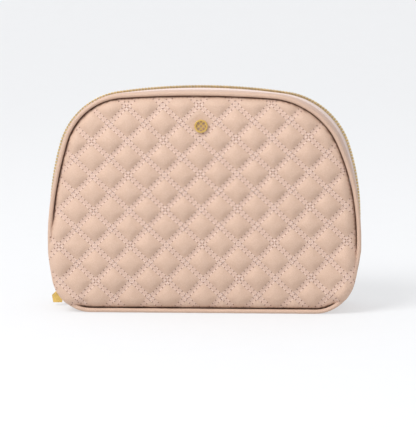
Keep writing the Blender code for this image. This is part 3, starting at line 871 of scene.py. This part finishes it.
def swell(piece, pins):
    """Let the padding push the leather out between its stitches, then keep that shape."""
    size = sizes()
    group = piece.vertex_groups.new(name="sewn")
    group.add([int(i) for i in pins], 1.0, "REPLACE")
    before = np.zeros(len(piece.data.vertices) * 3)
    piece.data.vertices.foreach_get("co", before)
    before = before.reshape(-1, 3)
    cloth = piece.modifiers.new("padding", "CLOTH")
    settings = cloth.settings
    settings.quality = 6
    settings.mass = 0.15
    settings.tension_stiffness = 18
    settings.compression_stiffness = 18
    settings.shear_stiffness = 8
    settings.bending_stiffness = 2.0
    settings.use_pressure = True
    settings.uniform_pressure_force = 4.0
    settings.shrink_min = -0.012
    settings.vertex_group_mass = "sewn"
    settings.pin_stiffness = 1.0
    settings.effector_weights.gravity = 0.0
    cloth.collision_settings.use_collision = False
    scene = bpy.context.scene
    scene.frame_start = 1
    scene.frame_end = size.swell_frames
    for number in range(1, size.swell_frames + 1):
        scene.frame_set(number)
    evaluated = piece.evaluated_get(bpy.context.evaluated_depsgraph_get())
    after = np.zeros(len(before) * 3)
    evaluated.data.vertices.foreach_get("co", after)
    after = after.reshape(-1, 3)
    piece.modifiers.remove(cloth)
    scene.frame_set(1)
    moved = after - before
    length = np.linalg.norm(moved, axis=1, keepdims=True)
    moved *= np.minimum(1.0, SWELL_LIMIT / np.maximum(length, 1e-9))
    return before + moved


def quilted_face(prefix, body):
    """One face's leather, up to where it tucks in behind its own roll."""
    x, z, u, v, faces = quilted_sheet()
    depth = resting_depth(x, z, u, v)
    loop = rim_loop(faces, x, z)
    points = [np.column_stack([x, -depth, z])]
    quilt = [np.column_stack([u, v])]
    before = loop
    edge_x, edge_z, edge_depth = x[loop], z[loop], depth[loop]
    over = padded_scale(edge_x, edge_z)[2]
    tuck = OVERHANG * over + 0.0001
    reach = np.hypot(edge_x, edge_z - FACE_CENTRE_HEIGHT)
    count = len(x)
    for share, front in TUCK_RINGS:
        inwards = 1 - tuck * share / reach
        ring_depth = np.where(over > 0.02, HALF_DEPTH + front, edge_depth)
        ring_depth = edge_depth + (ring_depth - edge_depth) * np.clip(over * 2, 0.0, 1.0)
        ring_z = FACE_CENTRE_HEIGHT + (edge_z - FACE_CENTRE_HEIGHT) * inwards
        points.append(np.column_stack([edge_x * inwards, -ring_depth, ring_z]))
        quilt.append(quilt[0][loop])
        after = list(range(count, count + len(loop)))
        for i in range(len(loop)):
            j = (i + 1) % len(loop)
            faces.append((before[i], before[j], after[j], after[i]))
        before = after
        count += len(loop)
    points = np.vstack(points)
    look = look_for("quilted_leather", quilted_look)
    name = prefix + "_quilted_leather"
    piece = new_piece(name, points, faces, look, body)
    add_flat_map(piece, np.vstack(quilt), "quilt")
    scale, rim, over = padded_scale(points[:, 0], points[:, 2])
    # Painted shade along the seam: a dark, slightly scalloped band where the leather dips into the
    # groove by its piping
    wavy = 0.0008 + 0.0003 * np.cos(2 * math.pi * (points[:, 0] + points[:, 2]) / 0.0036)
    seam_shade_share = np.clip(1.15 - (1 - scale) * rim / wavy, 0.0, 1.0) * (1 - over)
    seam = piece.data.attributes.new("seam", "FLOAT", "POINT")
    seam.data.foreach_set("value", seam_shade_share.astype(np.float32))
    return piece, points, len(x)


def sewn_down(points, inner, quilt):
    """The points that the stitching, the seam and the badge hold in place."""
    row = row_offset() * 1.05
    near = np.abs(quilt - np.round(quilt)).min(axis=1) < row
    scale, rim, _ = padded_scale(points[:, 0], points[:, 2])
    held = near | ((1 - scale) * rim < 0.0015)
    held |= np.hypot(points[:, 0] - EMBLEM_SHIFT, points[:, 2] - EMBLEM_HEIGHT) < BADGE_HOLD
    held[inner:] = True
    return np.flatnonzero(held)


def finish_face(piece, points, side):
    """Write the swollen points, turned round for the back, and smooth them once."""
    placed = points.copy()
    if side > 0:
        placed[:, 0] = -placed[:, 0]
        placed[:, 1] = -placed[:, 1]
    piece.data.vertices.foreach_set("co", placed.ravel())
    piece.data.update()
    activate(piece)
    smooth = piece.modifiers.new("soft", "SUBSURF")
    smooth.levels = 1
    smooth.render_levels = 1
    smooth.boundary_smooth = "PRESERVE_CORNERS"
    bpy.ops.object.modifier_apply(modifier=smooth.name)
    for face in piece.data.polygons:
        face.use_smooth = True


def quilting_stitches(name, leather, side, body):
    """Thread stitches along both rows of every quilting line, laid on the leather."""
    row = row_offset()
    per = sizes().stitches_per_side
    mesh = leather.data
    corners = [tuple(v.co) for v in mesh.vertices]
    tree = BVHTree.FromPolygons(corners, [tuple(p.vertices) for p in mesh.polygons])
    alongs = (np.arange(int(-9 * per), int(9 * per)) + 0.5) / per
    stitches = []
    for line in range(-9, 10):
        for across in (line - row, line + row):
            for rising in (True, False):
                fixed = np.full(len(alongs), across)
                u, v = (fixed, alongs) if rising else (alongs, fixed)
                x, z = quilt_point(u, v)
                scale, rim, _ = padded_scale(x, z)
                inside = (1 - scale) * rim > 0.0012
                if side < 0:
                    inside &= np.hypot(x - EMBLEM_SHIFT, z - EMBLEM_HEIGHT) > BADGE_CLEAR
                previous = None
                for place_x, place_z, shown in zip(x, z, inside):
                    hit = None
                    if shown:
                        start = Vector((-side * place_x, side * 2 * HALF_DEPTH, place_z))
                        hit, normal, _, _ = tree.ray_cast(start, Vector((0.0, -side, 0.0)))
                    if hit is not None and previous is not None:
                        stitches.append((previous, hit, normal))
                    previous = hit
    radius = sizes().thread_radius
    return stitch_mesh(name, stitches, radius, thread(), body)


class BAG_OT_quilted_faces(bpy.types.Operator):
    """Make both quilted faces and their stitching"""

    bl_idname = "bag.quilted_faces"
    bl_label = "Quilted faces"

    def execute(self, context):
        piece, points, inner = quilted_face("front", "front_half")
        points = swell(piece, sewn_down(points, inner, flat_map(piece, "quilt")))
        finish_face(piece, points, -1)
        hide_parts("front_panel", "front_padding")
        quilting_stitches("front_quilting_stitches", piece, -1, "front_half")
        back = quilted_face("back", "back_half")[0]
        finish_face(back, points, 1)
        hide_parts("back_panel", "back_padding")
        quilting_stitches("back_quilting_stitches", back, 1, "back_half")
        return {"FINISHED"}


class BAG_OT_piping(bpy.types.Operator):
    """Make the leather piping round each face"""

    bl_idname = "bag.piping"
    bl_label = "Piping"

    def execute(self, context):
        for prefix, side, body in HALVES:
            middle_out = PIPING_HIGH[0] - FACE.half_width - PIPING_RADIUS
            section = []
            for i in range(14):
                turn = 2 * math.pi * i / 14
                out = middle_out + PIPING_RADIUS * math.cos(turn)
                section.append((out, PIPING_DEPTH + PIPING_RADIUS * math.sin(turn)))
            look = look_for("piping_leather", leather_look, shade(colours().leather, 0.97))
            piece = ring_piece(
                prefix + "_piping_leather",
                section,
                look,
                body,
                side,
                wave=0.015,
            )
            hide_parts(prefix + "_piping")
        return {"FINISHED"}


def strip_sheet(fractions):
    """Work out a strip's length along the outline; the length is not kept or used."""
    length = (fractions[-1] - fractions[0]) * ZIP.half_length


def wall_stitches(name, y, lift, body):
    """One row of topstitching along the wall."""
    start = ZIP_START * ZIP.half_length + 0.003
    end = (2 - ZIP_START) * ZIP.half_length - 0.003
    count = int((end - start) / TOPSTITCH_PITCH)
    stitches = []
    for i in range(count):
        near = (start + i * TOPSTITCH_PITCH) / ZIP.half_length
        far = (start + (i + TOPSTITCH_SHARE) * TOPSTITCH_PITCH) / ZIP.half_length
        a = wall_point(near, y, lift)
        b = wall_point(far, y, lift)
        outward = ZIP.at((near + far) / 2)[1]
        stitches.append((a, b, Vector((outward.x, 0.0, outward.y))))
    radius = sizes().thread_radius
    return stitch_mesh(name, stitches, radius, thread(), body)


class BAG_OT_zip_leather(bpy.types.Operator):
    """Make the leather strips on both sides of the zip, with their topstitching"""

    bl_idname = "bag.zip_leather"
    bl_label = "Leather along the zip"

    def execute(self, context):
        fractions = wall_fractions(ZIP_START, 2 - ZIP_START, 0.0035)
        for prefix, side, body in HALVES:
            outer_edge = side * STRIP_OUTER_EDGE
            profile = rounded_profile(outer_edge, side * STRIP_EDGE, STRIP_TOP, 0.0003, 0.0003, 6)
            look = look_for("strip_leather", leather_look, tuple(colours().strip))
            name = prefix + "_zip_leather"
            piece = wall_strip(name, profile, fractions, look, body)
            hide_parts(prefix + "_zip_facing")
            row = side * (STRIP_EDGE + TOPSTITCH_INSET)
            wall_stitches(prefix + "_zip_topstitching", row, STITCH_LIFT, body)
        return {"FINISHED"}


def tooth_template():
    """One zip tooth, modelled once: a proud crown, and a lower nose that meets the other row."""
    deselect()
    bpy.ops.mesh.primitive_cube_add(size=1.0, location=(0.0, 0.5, 0.0), scale=(1.0, 1.0, 1.0))
    tooth = bpy.context.object
    tooth.name = "tooth_shape"
    bpy.ops.object.mode_set(mode="EDIT")
    bpy.ops.mesh.select_mode(type="FACE")
    bpy.ops.mesh.select_all(action="DESELECT")
    bpy.ops.object.mode_set(mode="OBJECT")
    for face in tooth.data.polygons:
        face.select = face.normal.y < -0.5
    bpy.ops.object.mode_set(mode="EDIT")
    bpy.ops.mesh.inset(thickness=TOOTH_INSET, depth=0.0)
    bpy.ops.mesh.extrude_region_move(TRANSFORM_OT_translate={"value": (0.0, -TOOTH_NOSE, 0.0)})
    bpy.ops.object.mode_set(mode="OBJECT")
    bpy.ops.object.transform_apply(location=True, rotation=True, scale=True)
    for vertex in tooth.data.vertices:
        vertex.co.x *= TOOTH_HEIGHT
        vertex.co.y = TOOTH_CROWN_START + vertex.co.y * (TOOTH_FAR - TOOTH_CROWN_START)
        vertex.co.z *= TOOTH_LENGTH
    soften = tooth.modifiers.new("soft", "BEVEL")
    soften.width = 0.00022
    soften.segments = 1
    soften.limit_method = "ANGLE"
    soften.angle_limit = math.radians(40)
    bpy.ops.object.modifier_apply(modifier=soften.name)
    points = [v.co.copy() for v in tooth.data.vertices]
    faces = [tuple(p.vertices) for p in tooth.data.polygons]
    bpy.data.objects.remove(tooth, do_unlink=True)
    return points, faces


class BAG_OT_zip_chain(bpy.types.Operator):
    """Make the zip's tapes, teeth and stops"""

    bl_idname = "bag.zip_chain"
    bl_label = "Zip chain"

    def execute(self, context):
        pitch = sizes().tooth_pitch
        shape, shape_faces = tooth_template()
        brass = look_for("zip_brass_metal", metal_look, tuple(colours().brass), 0.24, 0.35)
        tape_look = look_for("zip_tape_weave", woven_look, tuple(colours().tape), 9000.0)
        skipped = ZIP_START * ZIP.half_length + TEETH_START
        under = TAPE_UNDERLAP / ZIP.half_length
        fractions = wall_fractions(ZIP_START - under, 2 - ZIP_START + under, 0.003)
        for prefix, side, body in HALVES:
            profile = rounded_profile(
                side * TAPE_EDGE, side * TAPE_INNER_EDGE, 0.0, -TAPE_THICKNESS, 0.0, 6
            )
            name = prefix + "_woven_tape"
            tape = wall_strip(name, profile, fractions, tape_look, body)
            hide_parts(prefix + "_zip_tape")
            strip_sheet(fractions)
            points = []
            faces = []
            start = skipped + (pitch / 2 if side > 0 else 0.0)
            for i in range(int(2 * (ZIP.half_length - skipped) / pitch)):
                turned = zip_frame(start + i * pitch + pitch / 4)
                base = len(points)
                points += [turned @ Vector((p.x, side * p.y, p.z)) for p in shape]
                faces += [tuple(base + k for k in face) for face in shape_faces]
            teeth = new_piece(
                prefix + "_metal_teeth", points, faces, brass, body, smooth=False
            )
            face_outwards(teeth)
            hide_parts(prefix + "_zip_teeth")
        for node, body in (
            ("front_top_stop", "front_half"),
            ("back_top_stop", "back_half"),
            ("zip_bottom_stop", "back_half"),
        ):
            refined_copy(node, node + "_metal", brass, body, 0.00035)
        return {"FINISHED"}


def refined_copy(node, name, look, body, width, segments=3):
    """A copy of a solid with its facets merged and its edges rounded, standing for that solid."""
    source = bpy.data.objects[node]
    mesh = source.data.copy()
    mesh.name = name
    piece = bpy.data.objects.new(name, mesh)
    bpy.context.scene.collection.objects.link(piece)
    mesh.materials.clear()
    mesh.materials.append(look)
    bm = bmesh.new()
    bm.from_mesh(mesh)
    bmesh.ops.remove_doubles(bm, verts=bm.verts, dist=1e-6)
    bmesh.ops.recalc_face_normals(bm, faces=bm.faces)
    bmesh.ops.dissolve_limit(
        bm, angle_limit=math.radians(3), verts=bm.verts, edges=bm.edges
    )
    bm.to_mesh(mesh)
    bm.free()
    activate(piece)
    bevel = piece.modifiers.new("rounded", "BEVEL")
    bevel.width = width
    bevel.segments = segments
    bevel.limit_method = "ANGLE"
    bevel.angle_limit = math.radians(30)
    bevel.use_clamp_overlap = True
    bpy.ops.object.modifier_apply(modifier=bevel.name)
    bpy.ops.object.shade_smooth_by_angle(angle=math.radians(35))
    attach(piece, body)
    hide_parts(node)
    return piece


class BAG_OT_slider_and_pull(bpy.types.Operator):
    """Make the slider, its link and its tab in gold"""

    bl_idname = "bag.slider_and_pull"
    bl_label = "Slider and pull"

    def execute(self, context):
        refined_copy("slider_body", "gold_slider", gold(), "slider", 0.00025)
        refined_copy("pull_link", "gold_link", gold(), "link", 0.0001, 1)
        refined_copy("pull_tab", "gold_tab", gold(), "tab", 0.00035)
        return {"FINISHED"}


class BAG_OT_emblem(bpy.types.Operator):
    """Make the badge and the washer behind it"""

    bl_idname = "bag.emblem"
    bl_label = "Badge"

    def execute(self, context):
        steel = look_for("washer_metal", metal_look, (0.6, 0.6, 0.6), 0.35, 0.3)
        for node, name, look, slot, width, segments in (
            ("emblem", "gold_badge", gold(), "gold_plate", 0.00028, 3),
            ("emblem_washer", "steel_washer", steel, "washer_steel", 0.0001, 1),
        ):
            piece = refined_copy(node, name, look, "front_half", width, segments)
            piece.data.transform(Matrix.Translation((EMBLEM_SHIFT, 0.0, 0.0)))
        return {"FINISHED"}


def base_fractions(end, spacing):
    count = max(2, round(end * ZIP.half_length / spacing))
    half = [end * i / count for i in range(count + 1)]
    return [-f for f in reversed(half[1:])] + half


class BAG_OT_base(bpy.types.Operator):
    """Make the leather under the bag and the board inside it"""

    bl_idname = "bag.base"
    bl_label = "Base"

    def execute(self, context):
        fractions = base_fractions(ZIP_START - END_GAP, 0.0035)
        profile = rounded_profile(-BASE_EDGE, BASE_EDGE, BASE_TOP, BASE_INSIDE, 0.0, 12)
        look = look_for("base_leather", leather_look, shade(colours().leather, 0.98))
        piece = wall_strip(
            "base_leather", profile, fractions, look, "back_half"
        )
        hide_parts("bottom_gusset")
        board = look_for("base_board_fibres", board_look)
        refined_copy("base_board", "fibre_board", board, "back_half", 0.0003, 2)
        return {"FINISHED"}


def lining_face(name, side, body, node, depth):
    """The lining behind one face: a slightly slack cloth that follows the face's dome."""
    rings = 26
    count = 150
    points = [(0.0, side * (HALF_DEPTH + float(bulge(0.0)) - depth), FACE_CENTRE_HEIGHT)]
    for r in range(1, rings + 1):
        scale = r / rings
        for i in range(count):
            point, outward = FACE.at(2 * i / count)
            point = point - outward * LINING_INSET
            x = point.x * scale
            z = FACE_CENTRE_HEIGHT + (point.y - FACE_CENTRE_HEIGHT) * scale
            slack = 0.0004 * math.sin(x * 90 + 1.3 * side) * math.sin(z * 70 + 0.4)
            y = HALF_DEPTH + float(bulge(scale)) - depth + slack * (1 - scale)
            points.append((x, side * y, z))
    faces = [(0, 1 + i, 1 + (i + 1) % count) for i in range(count)]
    for a, b, c, d in grid_faces(rings, count, close_columns=True):
        faces.append((a + 1, b + 1, c + 1, d + 1))
    piece = new_piece(name, points, faces, lining_weave(), body)
    add_flat_map(piece, [(p[0], p[2]) for p in points])
    thicken(piece, LINING_THICKNESS)
    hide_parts(node)
    return piece


def thicken(piece, thickness):
    activate(piece)
    solid = piece.modifiers.new("thickness", "SOLIDIFY")
    solid.thickness = thickness
    solid.offset = 0.0
    bpy.ops.object.modifier_apply(modifier=solid.name)
    face_outwards(piece)


class BAG_OT_linings(bpy.types.Operator):
    """Make the cloth linings, the bindings over their seams and the slip pocket"""

    bl_idname = "bag.linings"
    bl_label = "Linings and pocket"

    def execute(self, context):
        look = lining_weave()
        bind = look_for(
            "binding_weave", woven_look, shade(tuple(colours().lining), 1.15), 5200.0, 2600.0
        )
        fractions = wall_fractions(ZIP_START, 2 - ZIP_START, 0.004)
        for prefix, side, body in HALVES:
            lining_low, lining_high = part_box(prefix + "_lining")
            outermost = max(abs(lining_low[1]), abs(lining_high[1]))
            depth = HALF_DEPTH + FACE_BULGE - outermost + 0.0003
            lining_face(prefix + "_lining_cloth", side, body, prefix + "_lining", depth)
            near, far = (side * edge for edge in WALL_LINING_EDGES)
            profile = rounded_profile(near, far, *WALL_LINING_LAYERS, 0.0, 5)
            wall = wall_strip(
                prefix + "_wall_lining_cloth", profile, fractions, look, body
            )
            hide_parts(prefix + "_wall_lining")
            strip_sheet(fractions)
            band_low, band_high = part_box(prefix + "_seam_binding")
            inner = min(abs(band_low[1]), abs(band_high[1])) - HALF_DEPTH
            outer = max(abs(band_low[1]), abs(band_high[1])) - HALF_DEPTH
            section = [
                (-0.0076, inner + 0.0001),
                (-0.0072, inner - 0.0001),
                (-0.0056, inner - 0.0003),
                (-0.0040, inner - 0.0001),
                (-0.0036, inner + 0.0001),
                (-0.0036, outer),
                (-0.0076, outer),
            ]
            binding = ring_piece(
                prefix + "_binding_cloth", section, bind, body, side
            )
            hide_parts(prefix + "_seam_binding")
        fractions = base_fractions(ZIP_START - END_GAP, 0.004)
        edge = BASE_LINING_EDGE
        profile = rounded_profile(-edge, edge, *BASE_LINING_LAYERS, 0.0, 10)
        floor = wall_strip(
            "base_lining_cloth", profile, fractions, look, "back_half"
        )
        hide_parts("bottom_lining")
        strip_sheet(fractions)
        refined_copy("slip_pocket", "pocket_cloth", look, "back_half", 0.0001, 1)
        pocket_map("pocket_cloth")
        band = "pocket_binding_cloth"
        refined_copy("pocket_binding", band, bind, "back_half", 0.0002, 2)
        pocket_map(band)
        return {"FINISHED"}


def pocket_map(name):
    piece = bpy.data.objects[name]
    if "flat" in piece.data.uv_layers:
        return
    add_flat_map(piece, [(v.co.x, v.co.z) for v in piece.data.vertices])


class BAG_OT_settle(bpy.types.Operator):
    """Let the top of the soft back sink a little, below the line of the zip"""

    bl_idname = "bag.settle"
    bl_label = "Settle"

    def execute(self, context):
        for piece in context.scene.objects:
            if piece.type != "MESH" or not piece.name.startswith("back_"):
                continue
            if piece.name in frame["nodes"]:
                continue
            mesh = piece.data
            places = np.zeros(3 * len(mesh.vertices))
            mesh.vertices.foreach_get("co", places)
            places = places.reshape(-1, 3)
            depth = smooth_step(places[:, 1], 0.004, HALF_DEPTH)
            places[:, 2] -= BACK_SINKS * depth * smooth_step(places[:, 2], 0.10, 0.165)
            mesh.vertices.foreach_set("co", places.ravel())
            mesh.update()
        return {"FINISHED"}


# Stage


def area_light(name, place, target, size, power, colour):
    light = bpy.data.lights.new(name, "AREA")
    light.shape = "RECTANGLE"
    light.size = size[0]
    light.size_y = size[1]
    light.energy = power
    light.color = colour
    lamp = bpy.data.objects.new(name, light)
    lamp.location = place
    lamp.rotation_euler = (Vector(target) - Vector(place)).to_track_quat("-Z", "Y").to_euler()
    bpy.context.scene.collection.objects.link(lamp)


def studio_sweep():
    """A pale paper floor that curves up into a wall behind the bag."""
    deselect()
    bpy.ops.mesh.primitive_plane_add(size=16.0, location=(0.0, -4.5, -0.0001))
    sweep = bpy.context.object
    sweep.name = "studio_sweep"
    for edge in sweep.data.edges:
        edge.select = all(sweep.data.vertices[n].co.y > 0 for n in edge.vertices)
    for face in sweep.data.polygons:
        face.select = False
    bpy.ops.object.mode_set(mode="EDIT")
    bpy.ops.mesh.select_mode(type="EDGE")
    bpy.ops.mesh.extrude_region_move(TRANSFORM_OT_translate={"value": (0.0, 0.0, 6.0)})
    bpy.ops.object.mode_set(mode="OBJECT")
    bpy.ops.object.transform_apply(location=True, rotation=True, scale=True)
    fold = sweep.modifiers.new("fold", "BEVEL")
    fold.width = 2.0
    fold.segments = 24
    fold.limit_method = "ANGLE"
    bpy.ops.object.modifier_apply(modifier=fold.name)
    bpy.ops.object.shade_smooth()
    return sweep


class BAG_OT_stage(bpy.types.Operator):
    """Make the pale floor, the studio light and the camera"""

    bl_idname = "bag.stage"
    bl_label = "Stage"

    def execute(self, context):
        scene = context.scene
        floor = studio_sweep()
        look = Look("studio_paper")
        fibres = look.noise(look.place(), 40.0, 2.0)
        tone = look.mix(fibres, (0.325, 0.325, 0.325), (0.335, 0.335, 0.335))
        paper = look.finish(
            Base_Color=tone,
            Roughness=0.9,
            Emission_Color=(0.97, 0.98, 1.0, 1.0),
            Emission_Strength=0.530,
        )
        floor.data.materials.append(paper)
        world = bpy.data.worlds.new("studio_air")
        world.use_nodes = True
        world.node_tree.nodes["Background"].inputs[0].default_value = AIR_COLOUR
        world.node_tree.nodes["Background"].inputs[1].default_value = AIR_STRENGTH
        scene.world = world
        scene.view_settings.view_transform = "Standard"
        middle = (0.0, 0.0, 0.09)
        area_light("key", KEY_PLACE, middle, KEY_SIZE, KEY_POWER, KEY_COLOUR)
        lens = bpy.data.cameras.new("camera")
        lens.sensor_width = SENSOR_WIDTH
        lens.lens = SENSOR_WIDTH * CAMERA_DISTANCE / VIEW_WIDTH
        lens.clip_end = 30.0
        camera = bpy.data.objects.new("camera", lens)
        away = Vector(
            (
                math.sin(CAMERA_TURN) * math.cos(CAMERA_RISE),
                -math.cos(CAMERA_TURN) * math.cos(CAMERA_RISE),
                math.sin(CAMERA_RISE),
            )
        )
        camera.location = CAMERA_TARGET + away * CAMERA_DISTANCE
        camera.rotation_euler = (-away).to_track_quat("-Z", "Y").to_euler()
        scene.collection.objects.link(camera)
        scene.camera = camera
        return {"FINISHED"}


class BAG_PT_panel(bpy.types.Panel):
    """Lists the steps that make the bag"""

    bl_label = "Makeup bag"
    bl_idname = "BAG_PT_panel"
    bl_space_type = "VIEW_3D"
    bl_region_type = "UI"
    bl_category = "Makeup bag"

    def draw(self, context):
        for step in STEPS:
            self.layout.operator(step.bl_idname)
        for group in (context.scene.bag_sizes, context.scene.bag_colours):
            for name in group.__annotations__:
                self.layout.prop(group, name)


STEPS = (
    BAG_OT_stage,
    BAG_OT_quilted_faces,
    BAG_OT_piping,
    BAG_OT_zip_leather,
    BAG_OT_zip_chain,
    BAG_OT_slider_and_pull,
    BAG_OT_emblem,
    BAG_OT_base,
    BAG_OT_linings,
    BAG_OT_settle,
)
CLASSES = (BagSizes, BagColours, *STEPS, BAG_PT_panel)


def register():
    for made in CLASSES:
        bpy.utils.register_class(made)
    bpy.types.Scene.bag_sizes = PointerProperty(type=BagSizes)
    bpy.types.Scene.bag_colours = PointerProperty(type=BagColours)


def unregister():
    del bpy.types.Scene.bag_colours
    del bpy.types.Scene.bag_sizes
    for made in reversed(CLASSES):
        bpy.utils.unregister_class(made)


def main():
    register()
    for step in STEPS:
        group, name = step.bl_idname.split(".")
        getattr(getattr(bpy.ops, group), name)()
    deselect()


if __name__ == "__main__":
    main()
